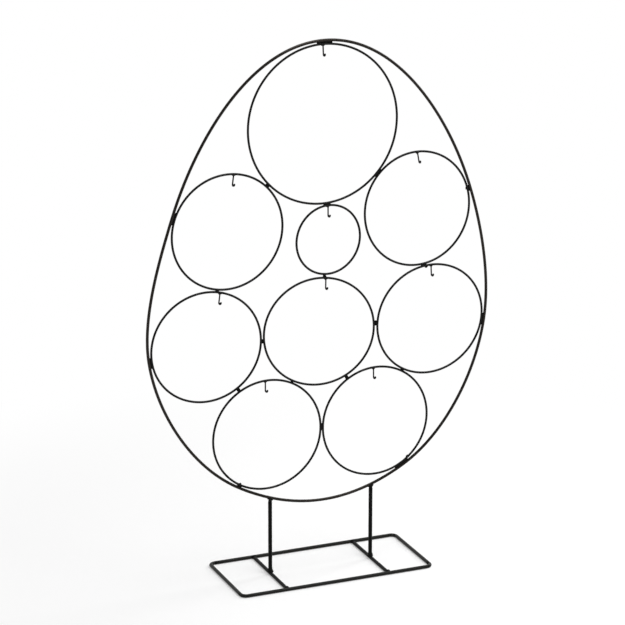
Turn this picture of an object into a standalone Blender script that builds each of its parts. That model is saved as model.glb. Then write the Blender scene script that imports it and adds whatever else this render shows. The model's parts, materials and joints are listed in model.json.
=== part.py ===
"""Egg-shaped display rack in welded steel wire, for nine decorated eggs.

Nine round rings are packed inside an egg-shaped hoop and welded to it and to each other.
Each ring carries a small J hook under its top, from which an egg hangs in the ring.
Two uprights lift the hoop above a flat rectangular base loop with two crossbars.

Frame: metres, +Z up, X across the hoop, -Y towards the viewer, the floor at Z = 0 and the
hoop's plane at Y = 0. A place in the hoop's plane is a 2D vector (x, z).
"""

import math

import bmesh
import bpy
from mathutils import Matrix, Vector
from mathutils.geometry import interpolate_bezier

# Rod and wire diameters
RING_WIRE = 0.003
HOOP_ROD = 0.004
HOOK_WIRE = 0.0018
UPRIGHT_ROD = 0.005
BASE_ROD = 0.005

# Diameter of most rings, to the middle of the wire
RING_DIAMETER = 0.1675

# The rings are laid by hand: how far the lowest and highest stand right of the stand's middle
BOTTOM_ROW_OFFSET = 0.0012
BOTTOM_ROW_TILT = -0.7
TOP_RING_OFFSET = 0.0026

# The small ring is not welded to the upper right ring, and stands this far clear of it
SMALL_RING_CLEARANCE = 0.0080

# Where on a ring the hoop touches it, in degrees up from the +X direction
TOP_CONTACT = 92.0
UPPER_CONTACT = 18.5
MIDDLE_CONTACT = -8.0
BOTTOM_CONTACT = -61.0

# How full the hoop's bends are, next to a round arc: those between contacts, and the foot
BEND_FULLNESS = 0.93
FOOT_FULLNESS = 1.08

# Gap between a wire and the weld bead laid on it
WELD_CLEARANCE = 0.0003

# Weld metal between two wires that touch
TIGHT_NECK = 0.0003
NARROW_NECK = 0.0011
WIDE_NECK = 0.0021
OPEN_NECK = 0.0034
HOOP_NECK = 0.0005
TOP_HOOP_NECK = 0.0012

# Weld beads between wires: lengths along the wires, lap over each wire, thickness
SHORT_RING_WELD = 0.0065
RING_WELD = 0.009
LONG_RING_WELD = 0.016
SHORT_HOOP_WELD = 0.012
HOOP_WELD = 0.020
LONG_HOOP_WELD = 0.028
WELD_LAP = 0.0014
WELD_THICKNESS = 0.0034

# J hooks: the drop is from the middle of the ring's wire to the lowest middle of the hook's
HOOK_DROP = 0.0164
HOOK_BEND_RADIUS = 0.0026
HOOK_TIP_RISE = 0.0012
HOOK_WELD_LENGTH = 0.007
HOOK_WELD_HEIGHT = 0.0055

# Stand: heights and spacings are to the middle of a rod
HOOP_LIFT = 0.1065
BASE_LENGTH = 0.302
BASE_DEPTH = 0.1346
BASE_CORNER_RADIUS = 0.010
UPRIGHT_SPACING = 0.1612
UPRIGHT_NECK_LENGTH = 0.006
UPRIGHT_NECK_DIAMETER = 0.0036

# Weld fillets on the stand: how far a bead stands out from the rod it surrounds
UPRIGHT_FILLET = 0.0009
CROSSBAR_FILLET = 0.0018
CROSSBAR_CROWN = 0.0008

# Facets
WIRE_SIDES = 8
ROD_SIDES = 12
RING_STEP = 0.0127
HOOP_STEP = 0.020
BEND_STEPS = 6
BEAD_SEGMENTS = 10
BEAD_RINGS = 6

# Rounds of halving that find a ring's place
HALVINGS = 40

# The rings are bent by hand, so none is quite round: each one's size next to RING_DIAMETER,
# its length next to its width, and the direction of its length in degrees up from +X
RINGS = {
    "top": (1.380, 1.014, 99.0),
    "upper_left": (1.006, 1.015, 57.0),
    "upper_right": (1.006, 1.028, 103.0),
    "small_centre": (0.602, 1.036, 85.0),
    "middle_left": (0.990, 1.021, 8.0),
    "middle_centre": (1.000, 1.076, -14.0),
    "middle_right": (1.000, 1.021, 13.0),
    "bottom_left": (1.000, 1.011, 14.0),
    "bottom_right": (0.998, 1.005, -24.0),
}

# How each hook is welded on by hand, in degrees: its place right of the ring's top, the lean
# of its foot to the right, and its twist to the right from facing the viewer
HOOKS = {
    "top": (0.0, 4.0, 4.0),
    "upper_left": (8.5, -7.0, 10.0),
    "upper_right": (0.0, 11.0, -2.0),
    "small_centre": (-3.5, 4.0, 6.0),
    "middle_left": (15.0, -7.0, 22.0),
    "middle_centre": (9.0, 2.5, 14.0),
    "middle_right": (-0.5, 7.0, 4.0),
    "bottom_left": (-1.0, 4.0, 6.0),
    "bottom_right": (-2.5, 4.5, 3.0),
}

# Neighbouring rings: the weld metal between them, and the length of the bead
RING_WELDS = {
    ("top", "upper_left"): (NARROW_NECK, RING_WELD),
    ("top", "upper_right"): (TIGHT_NECK, LONG_RING_WELD),
    ("top", "small_centre"): (TIGHT_NECK, LONG_RING_WELD),
    ("small_centre", "middle_centre"): (WIDE_NECK, SHORT_RING_WELD),
    ("upper_left", "middle_left"): (TIGHT_NECK, SHORT_RING_WELD),
    ("upper_right", "middle_right"): (TIGHT_NECK, RING_WELD),
    ("middle_left", "middle_centre"): (NARROW_NECK, RING_WELD),
    ("middle_centre", "middle_right"): (WIDE_NECK, RING_WELD),
    ("middle_left", "bottom_left"): (OPEN_NECK, SHORT_RING_WELD),
    ("middle_centre", "bottom_left"): (TIGHT_NECK, SHORT_RING_WELD),
    ("middle_centre", "bottom_right"): (OPEN_NECK, SHORT_RING_WELD),
    ("middle_right", "bottom_right"): (TIGHT_NECK, SHORT_RING_WELD),
    ("bottom_left", "bottom_right"): (TIGHT_NECK, RING_WELD),
}

# Rings that the hoop touches, in its order: direction of the contact, then as above
HOOP_WELDS = {
    "bottom_right": (BOTTOM_CONTACT, HOOP_NECK, LONG_HOOP_WELD),
    "middle_right": (MIDDLE_CONTACT, HOOP_NECK, LONG_HOOP_WELD),
    "upper_right": (UPPER_CONTACT, HOOP_NECK, SHORT_HOOP_WELD),
    "top": (TOP_CONTACT, TOP_HOOP_NECK, LONG_HOOP_WELD),
    "upper_left": (180.0 - UPPER_CONTACT, HOOP_NECK, LONG_HOOP_WELD),
    "middle_left": (180.0 - MIDDLE_CONTACT, HOOP_NECK, HOOP_WELD),
    "bottom_left": (180.0 - BOTTOM_CONTACT, HOOP_NECK, SHORT_HOOP_WELD),
}

# Black powder coat on each kind of rod: colour and roughness
COATS = {
    "hoop_rod": ((0.012, 0.012, 0.011, 1.0), 0.34),
    "ring_wire": ((0.010, 0.010, 0.009, 1.0), 0.36),
    "hook_wire": ((0.010, 0.010, 0.009, 1.0), 0.40),
    "upright_rod": ((0.009, 0.009, 0.008, 1.0), 0.38),
    "base_rod": ((0.012, 0.012, 0.011, 1.0), 0.32),
    "weld_bead": ((0.014, 0.014, 0.013, 1.0), 0.42),
}

X_AXIS = Vector((1.0, 0.0, 0.0))
Y_AXIS = Vector((0.0, 1.0, 0.0))
Z_AXIS = Vector((0.0, 0.0, 1.0))
SIDES = {"left": -1, "right": 1}


# Layout in the hoop's plane


def direction(degrees):
    """Unit vector at an angle from the +X direction."""
    angle = math.radians(degrees)
    return Vector((math.cos(angle), math.sin(angle)))


def in_space(place, y=0.0):
    """A place in the hoop's plane as a 3D point."""
    return Vector((place.x, y, place.y))


def gap_over(neck):
    """Clear gap between two wires that a bead with this much metal between them bridges."""
    return neck + 2 * WELD_CLEARANCE


def settle(low, high, surplus):
    """The value from low to high at which a rising surplus passes zero, found by halving."""
    for _ in range(HALVINGS):
        middle = (low + high) / 2
        if surplus(middle) < 0.0:
            low = middle
        else:
            high = middle
    return (low + high) / 2


def heading_of(line):
    """Direction of a line, in degrees up from the +X direction."""
    return math.degrees(math.atan2(line.y, line.x))


def ring_sizes(name):
    """A ring's length and width, to the middle of its wire."""
    size, stretch, _ = RINGS[name]
    half_way = math.sqrt(stretch)
    return RING_DIAMETER * size * half_way, RING_DIAMETER * size / half_way


def rim(name, degrees):
    """The middle of a ring's wire where it faces this direction, from the ring's centre."""
    length, width = ring_sizes(name)
    tilt = RINGS[name][2]
    spoke = direction(degrees - tilt)
    reach = math.hypot(spoke.x * length, spoke.y * width)
    point = Vector((spoke.x * length**2, spoke.y * width**2)) / (2 * reach)
    return Matrix.Rotation(math.radians(tilt), 2) @ point


def weld_neck(name_a, name_b):
    """Weld metal between two neighbouring rings."""
    weld = RING_WELDS.get((name_a, name_b)) or RING_WELDS[(name_b, name_a)]
    return weld[0]


def step_to(name_a, name_b, degrees):
    """From the centre of a ring to that of its neighbour in the direction that it faces."""
    gap = RING_WIRE + gap_over(weld_neck(name_a, name_b))
    return rim(name_a, degrees) + direction(degrees) * gap - rim(name_b, degrees + 180.0)


def facing(name_a, name_b, span):
    """Direction in which a ring faces its neighbour, whose centre is this span away."""
    ahead = heading_of(span)
    return settle(ahead - 90.0, ahead + 90.0, lambda turn: span.cross(step_to(name_a, name_b, turn)))


def rest_on(centres, name, below, x):
    """Lay a ring on top of another, with its centre at this x."""
    start = centres[below]
    turn = settle(180.0, 0.0, lambda turn: start.x + step_to(below, name, turn).x - x)
    centres[name] = start + step_to(below, name, turn)


def nestle(centres, name, first, second):
    """Lay a ring against two others, to the left of the line from the first to the second."""

    def surplus(turn):
        span = centres[first] + step_to(first, name, turn) - centres[second]
        reach = step_to(second, name, facing(second, name, span))
        return span.length - reach.length

    ahead = heading_of(centres[second] - centres[first])
    turn = settle(ahead, ahead + 180.0, surplus)
    centres[name] = centres[first] + step_to(first, name, turn)


def stack_rings(centres, small_x):
    """Lay the small ring at this x, the top ring on it, and the upper right ring beside them."""
    rest_on(centres, "small_centre", "middle_centre", small_x)
    rest_on(centres, "top", "small_centre", TOP_RING_OFFSET)
    nestle(centres, "upper_right", "top", "middle_right")
    span = centres["upper_right"] - centres["small_centre"]
    ahead = heading_of(span)
    wire_gap = span + rim("upper_right", ahead + 180.0) - rim("small_centre", ahead)
    return wire_gap.length - RING_WIRE


def pack_rings():
    """Centres of the rings, each laid against those below it, with the bottom row at height 0."""
    half = step_to("bottom_left", "bottom_right", BOTTOM_ROW_TILT) / 2
    row = Vector((BOTTOM_ROW_OFFSET, 0.0))
    centres = {"bottom_left": row - half, "bottom_right": row + half}
    nestle(centres, "middle_centre", "bottom_left", "bottom_right")
    nestle(centres, "middle_left", "bottom_left", "middle_centre")
    nestle(centres, "middle_right", "middle_centre", "bottom_right")
    most = RING_DIAMETER / 4
    stack_rings(centres, settle(0.0, most, lambda x: SMALL_RING_CLEARANCE - stack_rings(centres, x)))
    nestle(centres, "upper_left", "middle_left", "top")
    return centres


def hoop_contact(name, centres):
    """Where the middle of the hoop's rod passes a ring, and the rod's heading there."""
    degrees, neck, _ = HOOP_WELDS[name]
    gap = (RING_WIRE + HOOP_ROD) / 2 + gap_over(neck)
    return centres[name] + rim(name, degrees) + direction(degrees) * gap, degrees + 90.0


def bend(start, end, fullness):
    """Points of one smooth bend of the hoop from one place and heading to the next."""
    (place_a, heading_a), (place_b, heading_b) = start, end
    turn = math.radians((heading_b - heading_a) % 360.0)
    radius = (place_b - place_a).length / (2 * math.sin(turn / 2))
    handle = fullness * 4 / 3 * math.tan(turn / 4) * radius
    handle_a = place_a + direction(heading_a) * handle
    handle_b = place_b - direction(heading_b) * handle
    steps = max(2, round(radius * turn / HOOP_STEP))
    points = interpolate_bezier(place_a, handle_a, handle_b, place_b, steps + 1)
    return [Vector((point.x, point.y)) for point in points]


def bend_hoop(centres):
    """The hoop's rod as a closed loop of points, bent round the rings that it touches."""
    stations = [hoop_contact(name, centres) for name in HOOP_WELDS]
    points = []
    for start, end in zip(stations, stations[1:]):
        points.extend(bend(start, end, BEND_FULLNESS)[:-1])
    return points + bend(stations[-1], stations[0], FOOT_FULLNESS)[:-1]


def lay_out():
    """Centres of the rings and points of the hoop, lifted to their heights over the floor."""
    centres = pack_rings()
    hoop = bend_hoop(centres)
    rise = Vector((0.0, HOOP_LIFT - min(point.y for point in hoop)))
    return {name: centre + rise for name, centre in centres.items()}, [p + rise for p in hoop]


def hoop_height(hoop, x):
    """Height of the middle of the rod on the lower side of the hoop, at one x."""
    heights = []
    for here, there in zip(hoop, hoop[1:] + hoop[:1]):
        if min(here.x, there.x) <= x < max(here.x, there.x):
            share = (x - here.x) / (there.x - here.x)
            heights.append(here.y + share * (there.y - here.y))
    return min(heights)


def ring_points(name, centre):
    """Points round a ring, with one at its top."""
    count = 4 * math.ceil(math.pi * ring_sizes(name)[0] / RING_STEP / 4)
    turns = (360.0 * index / count for index in range(count))
    return [in_space(centre + rim(name, turn)) for turn in turns]


# Rods, weld beads and cuts


def clear_scene():
    """Remove what the scene already holds."""
    for old in list(bpy.data.objects):
        bpy.data.objects.remove(old, do_unlink=True)


def new_collection(name):
    """A collection of the scene."""
    collection = bpy.data.collections.new(name)
    bpy.context.scene.collection.children.link(collection)
    return collection


def coated_steel(name, colour, roughness):
    """Powder-coated steel, with no bare metal showing."""
    material = bpy.data.materials.new(name)
    material.use_nodes = True
    shader = material.node_tree.nodes["Principled BSDF"]
    shader.inputs["Base Color"].default_value = colour
    shader.inputs["Roughness"].default_value = roughness
    shader.inputs["Metallic"].default_value = 0.0
    material.diffuse_color = colour
    return material


def rod(name, points, diameter, sides, collection, material=None, closed=False, radii=None):
    """A round rod along the points, with a flat of its facets facing along its bend."""
    curve = bpy.data.curves.new(name, "CURVE")
    curve.dimensions = "3D"
    curve.bevel_depth = diameter / 2
    curve.bevel_resolution = sides // 2 - 2
    curve.use_fill_caps = True
    spline = curve.splines.new("POLY")
    spline.points.add(len(points) - 1)
    spline.use_cyclic_u = closed
    for index, point in enumerate(points):
        spline.points[index].co = (*point, 1.0)
        spline.points[index].tilt = math.pi / sides
        spline.points[index].radius = radii[index] if radii else 1.0
    if material:
        curve.materials.append(material)
    made = bpy.data.objects.new(name, curve)
    collection.objects.link(made)
    return made


def as_mesh(curve_object):
    """Turn a rod into a mesh with its caps welded on, so that it can be cut and joined."""
    bpy.context.view_layer.update()
    evaluated = curve_object.evaluated_get(bpy.context.evaluated_depsgraph_get())
    mesh = bpy.data.meshes.new_from_object(evaluated)
    form = bmesh.new()
    form.from_mesh(mesh)
    bmesh.ops.remove_doubles(form, verts=form.verts, dist=1e-6)
    bmesh.ops.recalc_face_normals(form, faces=form.faces)
    form.to_mesh(mesh)
    form.free()
    name = curve_object.name
    place = curve_object.matrix_world.copy()
    collection = curve_object.users_collection[0]
    bpy.data.objects.remove(curve_object, do_unlink=True)
    made = bpy.data.objects.new(name, mesh)
    made.matrix_world = place
    collection.objects.link(made)
    return made


def as_cutter(made):
    """Mark an object as one that only cuts or is joined to others."""
    made.hide_render = True
    made.display_type = "WIRE"
    return made


def rod_cutter(name, points, diameter, sides, cutters, closed=False):
    """A fatter copy of a rod, whose flats stand the weld clearance off the rod's flats."""
    fat = diameter + 2 * WELD_CLEARANCE / math.cos(math.pi / sides)
    return as_cutter(as_mesh(rod("cut_" + name, points, fat, sides, cutters, closed=closed)))


def ball(name, centre, along, across, sizes, collection, material=None):
    """An oval ball of weld metal: the sizes are its length, width and thickness."""
    turn = Matrix((along, across, along.cross(across))).transposed().to_4x4()
    scale = Matrix.Diagonal((*(size / 2 for size in sizes), 1.0))
    mesh = bpy.data.meshes.new(name)
    form = bmesh.new()
    bmesh.ops.create_uvsphere(
        form,
        u_segments=BEAD_SEGMENTS,
        v_segments=BEAD_RINGS,
        radius=1.0,
        matrix=Matrix.Translation(centre) @ turn @ scale,
    )
    bmesh.ops.recalc_face_normals(form, faces=form.faces)
    form.to_mesh(mesh)
    form.free()
    mesh.shade_smooth()
    if material:
        mesh.materials.append(material)
    made = bpy.data.objects.new(name, mesh)
    collection.objects.link(made)
    return made


def boolean(target, other, operation):
    """Join or cut an object with another."""
    modifier = target.modifiers.new(other.name, "BOOLEAN")
    modifier.operation = operation
    modifier.solver = "EXACT"
    modifier.object = other


# Sub-parts


def build_hoop(hoop, parts, cutters, coats):
    """The hoop, and the cutter of its rod."""
    points = [in_space(point) for point in hoop]
    rod("egg_hoop", points, HOOP_ROD, WIRE_SIDES, parts, coats["hoop_rod"], closed=True)
    return rod_cutter("egg_hoop", points, HOOP_ROD, WIRE_SIDES, cutters, closed=True)


def build_rings(centres, parts, cutters, coats):
    """The rings, and the cutters of their wires by name."""
    ring_cutters = {}
    for name in RINGS:
        points = ring_points(name, centres[name])
        node = "ring_" + name
        rod(node, points, RING_WIRE, WIRE_SIDES, parts, coats["ring_wire"], closed=True)
        ring_cutters[name] = rod_cutter(node, points, RING_WIRE, WIRE_SIDES, cutters, closed=True)
    return ring_cutters


def hook_seat(name, centre):
    """The middle of the ring's wire where a hook is welded on."""
    return in_space(centre + rim(name, 90.0 - HOOKS[name][0]))


def hook_points(name, centre):
    """A J hook's wire: down from the middle of the ring's wire, then round and up in front."""
    _, lean, twist = HOOKS[name]
    ahead = Matrix.Rotation(math.radians(twist), 3, "Z") @ -Y_AXIS
    bend_centre = ahead * HOOK_BEND_RADIUS - Z_AXIS * (HOOK_DROP - HOOK_BEND_RADIUS)
    points = [Vector()]
    for index in range(BEND_STEPS + 1):
        angle = math.pi * index / BEND_STEPS
        spoke = -ahead * math.cos(angle) - Z_AXIS * math.sin(angle)
        points.append(bend_centre + spoke * HOOK_BEND_RADIUS)
    points.append(points[-1] + Z_AXIS * HOOK_TIP_RISE)
    swing = Matrix.Rotation(math.radians(-lean), 3, "Y")
    seat = hook_seat(name, centre)
    return [seat + swing @ point for point in points]


def build_hooks(centres, ring_cutters, parts, cutters, coats):
    """The hooks, each joined with the bead that welds it under its ring."""
    for name in RINGS:
        points = hook_points(name, centres[name])
        wire = rod("hook_" + name, points, HOOK_WIRE, WIRE_SIDES, parts, coats["hook_wire"])
        hook = as_mesh(wire)
        outward = in_space(direction(90.0 - HOOKS[name][0]))
        along = outward.cross(Y_AXIS)
        seat = points[0] - outward * (RING_WIRE + HOOK_WELD_HEIGHT / 2) / 2
        sizes = (HOOK_WELD_LENGTH, HOOK_WELD_HEIGHT, WELD_THICKNESS)
        bead = as_cutter(ball("bead_hook_" + name, seat, along, outward, sizes, cutters))
        boolean(hook, bead, "UNION")
        boolean(hook, ring_cutters[name], "DIFFERENCE")


def build_bead(name, wire_middle, degrees, neck, length, wire_cutters, parts, coats):
    """A weld bead from a ring outwards to the next wire, cut to lie on both of them."""
    across = in_space(direction(degrees))
    along = across.cross(Y_AXIS)
    centre = in_space(wire_middle) + across * (RING_WIRE + gap_over(neck)) / 2
    sizes = (length, gap_over(neck) + 2 * WELD_LAP, WELD_THICKNESS)
    bead = ball(name, centre, along, across, sizes, parts, coats["weld_bead"])
    for wire_cutter in wire_cutters:
        boolean(bead, wire_cutter, "DIFFERENCE")


def build_welds(centres, ring_cutters, hoop_cutter, parts, coats):
    """The beads between neighbouring rings, and between the outer rings and the hoop."""
    for (name_a, name_b), (neck, length) in RING_WELDS.items():
        degrees = facing(name_a, name_b, centres[name_b] - centres[name_a])
        build_bead(
            f"weld_{name_a}_{name_b}",
            centres[name_a] + rim(name_a, degrees),
            degrees,
            neck,
            length,
            (ring_cutters[name_a], ring_cutters[name_b]),
            parts,
            coats,
        )
    for name, (degrees, neck, length) in HOOP_WELDS.items():
        build_bead(
            f"weld_{name}_hoop",
            centres[name] + rim(name, degrees),
            degrees,
            neck,
            length,
            (ring_cutters[name], hoop_cutter),
            parts,
            coats,
        )


def flat_height(diameter):
    """Height of the middle of a faceted rod that lies on the floor on one of its flats."""
    return diameter / 2 * math.cos(math.pi / ROD_SIDES)


def base_points():
    """The base loop: a flat rectangle with four round corners."""
    inset_x = BASE_LENGTH / 2 - BASE_CORNER_RADIUS
    inset_y = BASE_DEPTH / 2 - BASE_CORNER_RADIUS
    points = []
    for corner, (side_x, side_y) in enumerate(((1, 1), (-1, 1), (-1, -1), (1, -1))):
        for index in range(BEND_STEPS + 1):
            spoke = direction(90.0 * (corner + index / BEND_STEPS)) * BASE_CORNER_RADIUS
            x = side_x * inset_x + spoke.x
            y = side_y * inset_y + spoke.y
            points.append(Vector((x, y, flat_height(BASE_ROD))))
    return points


def build_base(parts, cutters, coats):
    """The base loop and the crossbars welded to its long rails, and the crossbars' cutters."""
    coat = coats["base_rod"]
    rod("base_loop", base_points(), BASE_ROD, ROD_SIDES, parts, coat, closed=True)
    loop_cutter = rod_cutter("base_loop", base_points(), BASE_ROD, ROD_SIDES, cutters, closed=True)
    height = flat_height(BASE_ROD)
    rail = BASE_DEPTH / 2
    bar_cutters = {}
    for side, sign in SIDES.items():
        node = "crossbar_" + side
        middle = Vector((sign * UPRIGHT_SPACING / 2, 0.0, height))
        ends = [middle - Y_AXIS * rail, middle + Y_AXIS * rail]
        bar = as_mesh(rod(node, ends, BASE_ROD, ROD_SIDES, parts, coat))
        for end, sense in (("front", -1), ("back", 1)):
            seat = middle + Y_AXIS * sense * (rail - BASE_ROD / 2) + Z_AXIS * CROSSBAR_CROWN
            sizes = (BASE_ROD + 2 * CROSSBAR_FILLET, BASE_ROD + 2 * CROSSBAR_FILLET, 2 * height)
            bead = ball(f"bead_{node}_{end}", seat, X_AXIS, Y_AXIS, sizes, cutters)
            boolean(bar, as_cutter(bead), "UNION")
        boolean(bar, loop_cutter, "DIFFERENCE")
        bar_cutters[side] = rod_cutter(node, ends, BASE_ROD, ROD_SIDES, cutters)
    return bar_cutters


def build_uprights(hoop, hoop_cutter, bar_cutters, parts, cutters, coats):
    """The uprights: each stands on a crossbar and narrows to a neck under the hoop."""
    neck_share = UPRIGHT_NECK_DIAMETER / UPRIGHT_ROD
    for side, sign in SIDES.items():
        node = "upright_" + side
        axis = X_AXIS * sign * UPRIGHT_SPACING / 2
        foot = axis + Z_AXIS * 2 * flat_height(BASE_ROD)
        head = axis + Z_AXIS * (hoop_height(hoop, axis.x) - HOOP_ROD / 2)
        points = [foot - Z_AXIS * BASE_ROD / 4, head - Z_AXIS * UPRIGHT_NECK_LENGTH, head]
        radii = (1.0, 1.0, neck_share)
        bar = rod(node, points, UPRIGHT_ROD, ROD_SIDES, parts, coats["upright_rod"], radii=radii)
        upright = as_mesh(bar)
        foot_width = UPRIGHT_ROD + 2 * UPRIGHT_FILLET
        head_width = UPRIGHT_NECK_DIAMETER + 2 * UPRIGHT_FILLET
        for end, place, width in (("foot", foot, foot_width), ("head", head, head_width)):
            bead = ball(f"bead_{node}_{end}", place, X_AXIS, Y_AXIS, [width] * 3, cutters)
            boolean(upright, as_cutter(bead), "UNION")
        boolean(upright, bar_cutters[side], "DIFFERENCE")
        boolean(upright, hoop_cutter, "DIFFERENCE")


def main():
    """Build the rack."""
    clear_scene()
    parts = new_collection("egg_display_rack")
    cutters = new_collection("cutters")
    coats = {name: coated_steel(name, *look) for name, look in COATS.items()}
    centres, hoop = lay_out()
    hoop_cutter = build_hoop(hoop, parts, cutters, coats)
    ring_cutters = build_rings(centres, parts, cutters, coats)
    build_hooks(centres, ring_cutters, parts, cutters, coats)
    build_welds(centres, ring_cutters, hoop_cutter, parts, coats)
    bar_cutters = build_base(parts, cutters, coats)
    build_uprights(hoop, hoop_cutter, bar_cutters, parts, cutters, coats)


if __name__ == "__main__":
    main()
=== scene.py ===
import json
import logging
import math
from dataclasses import dataclass
from enum import Enum
from functools import cache
from typing import Any, Sequence

import bmesh
import bpy
import numpy as np
from bpy.types import ID, Material, Mesh, Node, NodeSocket, NodeTree, Object
from mathutils import Matrix, Quaternion, Vector
from mathutils.geometry import interpolate_bezier

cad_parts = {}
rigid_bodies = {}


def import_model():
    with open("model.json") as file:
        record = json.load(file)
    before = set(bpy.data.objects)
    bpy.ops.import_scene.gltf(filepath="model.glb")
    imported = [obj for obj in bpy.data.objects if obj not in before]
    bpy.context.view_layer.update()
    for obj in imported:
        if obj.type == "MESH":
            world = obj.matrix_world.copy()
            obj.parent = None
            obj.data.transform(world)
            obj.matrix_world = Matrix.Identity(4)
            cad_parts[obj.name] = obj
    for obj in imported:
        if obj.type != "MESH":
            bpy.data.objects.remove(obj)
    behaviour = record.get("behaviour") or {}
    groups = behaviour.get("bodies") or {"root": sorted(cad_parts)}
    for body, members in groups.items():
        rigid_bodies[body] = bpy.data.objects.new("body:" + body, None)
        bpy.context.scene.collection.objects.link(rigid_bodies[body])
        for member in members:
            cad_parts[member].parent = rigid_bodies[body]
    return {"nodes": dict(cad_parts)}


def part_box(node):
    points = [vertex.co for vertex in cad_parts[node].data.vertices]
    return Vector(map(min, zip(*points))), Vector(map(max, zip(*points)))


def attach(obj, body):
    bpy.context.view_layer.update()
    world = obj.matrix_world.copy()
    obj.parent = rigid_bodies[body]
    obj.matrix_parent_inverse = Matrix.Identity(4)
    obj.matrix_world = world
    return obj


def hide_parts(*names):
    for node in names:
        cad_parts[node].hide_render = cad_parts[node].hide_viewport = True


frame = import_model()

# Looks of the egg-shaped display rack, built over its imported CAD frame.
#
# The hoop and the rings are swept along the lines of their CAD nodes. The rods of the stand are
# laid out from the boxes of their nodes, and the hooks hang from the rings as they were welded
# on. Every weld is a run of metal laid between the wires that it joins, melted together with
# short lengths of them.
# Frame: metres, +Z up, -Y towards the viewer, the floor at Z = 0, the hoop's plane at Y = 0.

LOG = logging.getLogger("egg_display_rack")
BODY = "root"
MM = 0.001

X_AXIS = Vector((1.0, 0.0, 0.0))
Y_AXIS = Vector((0.0, 1.0, 0.0))
Z_AXIS = Vector((0.0, 0.0, 1.0))

# Thickness of the baked powder on a rod, the height of its swells, and how long they are
COAT_THICKNESS = 0.15 * MM
COAT_SWELL = 0.08 * MM
COAT_SWELL_SIZE = 9.0 * MM

# How much thinner than the bare wire its lengths are inside a weld, so that they stay hidden
MELT_TRIM = 0.06 * MM

# How far balls of weld metal vary in size, and how far they wander
BALL_SPREAD = 0.12
BALL_WANDER = 0.22 * MM

# Grain of a weld's melt, and the strength and the rounds of the smoothing that draws its fillets
MELT_GRAIN = 0.22 * MM
MELT_SMOOTHING = 0.5
MELT_ROUNDS = 6

# Most values of a noise pattern lie between these
NOISE_SPAN = (0.3, 0.7)

# Turn between two groups of a CAD loop's corners, in radians, that is wider than any group
GROUP_GAP = 0.02

# Steps along a short length of wire that is melted into a weld
LENGTH_STEPS = 16

# Sides of the CAD rods, which are as wide as the real ones from corner to corner
CAD_ROD_SIDES = 12

Line = list[Vector]
Place = tuple[float, float, float]


# Colour and node helpers


def linear(hex_colour: str) -> tuple[float, float, float, float]:
    """Turn an sRGB hex colour into the linear colour that shaders take.

    Args:
        hex_colour: Six hex digits, with or without a leading hash.

    Returns:
        Red, green, blue and full alpha, linear.
    """
    digits = hex_colour.lstrip("#")
    values = [int(digits[i : i + 2], 16) / 255 for i in (0, 2, 4)]
    parts = [v / 12.92 if v <= 0.04045 else ((v + 0.055) / 1.055) ** 2.4 for v in values]
    return (parts[0], parts[1], parts[2], 1.0)


def add_node(
    tree: NodeTree, kind: str, inputs: dict[Any, Any] | None = None, **settings: Any
) -> Node:
    """Add a node with its settings, and set or link its inputs.

    Args:
        tree: The tree that gets the node.
        kind: The node's type name.
        inputs: Input name or index, with its value, the socket that feeds it, or a node
            whose first output does.
        **settings: Values of the node's own properties.

    Returns:
        The new node.
    """
    node = tree.nodes.new(kind)
    for name, value in settings.items():
        setattr(node, name, value)
    for key, value in (inputs or {}).items():
        if isinstance(value, Node):
            value = value.outputs[0]
        if isinstance(value, NodeSocket):
            tree.links.new(value, node.inputs[key])
        else:
            node.inputs[key].default_value = value
    return node


# Finishes


@dataclass(frozen=True)
class PowderCoat:
    """Black polyester powder coat, sprayed dry and baked on steel.

    Powder flows out unevenly as it bakes, so the skin has a faint orange peel about a
    millimetre across and fine grit in it, and the gloss varies a little from place to place.
    """

    name: str
    colour: str
    pale_colour: str
    roughness: float
    roughness_spread: float = 0.10
    peel_mm: float = 1.3
    peel_depth_mm: float = 0.030
    grit_mm: float = 0.30
    grit_depth_mm: float = 0.006
    patch_mm: float = 22.0
    specular: float = 0.15
    sheen_colour: str = "#ffffff"

    def build(self) -> Material:
        """Build the material.

        Returns:
            A node-based material that reads Object coordinates.
        """
        material = bpy.data.materials.new(self.name)
        material.use_nodes = True
        tree = material.node_tree
        place = add_node(tree, "ShaderNodeTexCoord").outputs["Object"]
        # Patches of gloss and shade, the orange peel, and the grit
        patches, peel, grit = (
            add_node(
                tree,
                "ShaderNodeTexNoise",
                {"Vector": place, "Scale": 1.0 / (size_mm * MM), "Detail": detail},
            )
            for size_mm, detail in ((self.patch_mm, 3.0), (self.peel_mm, 2.0), (self.grit_mm, 4.0))
        )
        shades = {0: patches, 6: linear(self.colour), 7: linear(self.pale_colour)}
        colour = add_node(tree, "ShaderNodeMix", shades, data_type="RGBA")
        dullness = {
            "Value": patches,
            "From Min": NOISE_SPAN[0],
            "From Max": NOISE_SPAN[1],
            "To Min": self.roughness - self.roughness_spread / 2,
            "To Max": self.roughness + self.roughness_spread / 2,
        }
        roughness = add_node(tree, "ShaderNodeMapRange", dullness)
        relief: dict[str, Any] = {}
        for height, depth_mm in ((grit, self.grit_depth_mm), (peel, self.peel_depth_mm)):
            relief |= {"Strength": 1.0, "Distance": depth_mm * MM, "Height": height}
            relief["Normal"] = add_node(tree, "ShaderNodeBump", relief).outputs["Normal"]

        shader = tree.nodes["Principled BSDF"]
        tree.links.new(colour.outputs[2], shader.inputs["Base Color"])
        tree.links.new(roughness.outputs["Result"], shader.inputs["Roughness"])
        tree.links.new(relief["Normal"], shader.inputs["Normal"])
        shader.inputs["Specular IOR Level"].default_value = self.specular
        shader.inputs["Specular Tint"].default_value = linear(self.sheen_colour)
        material.diffuse_color = linear(self.colour)
        return material


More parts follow.
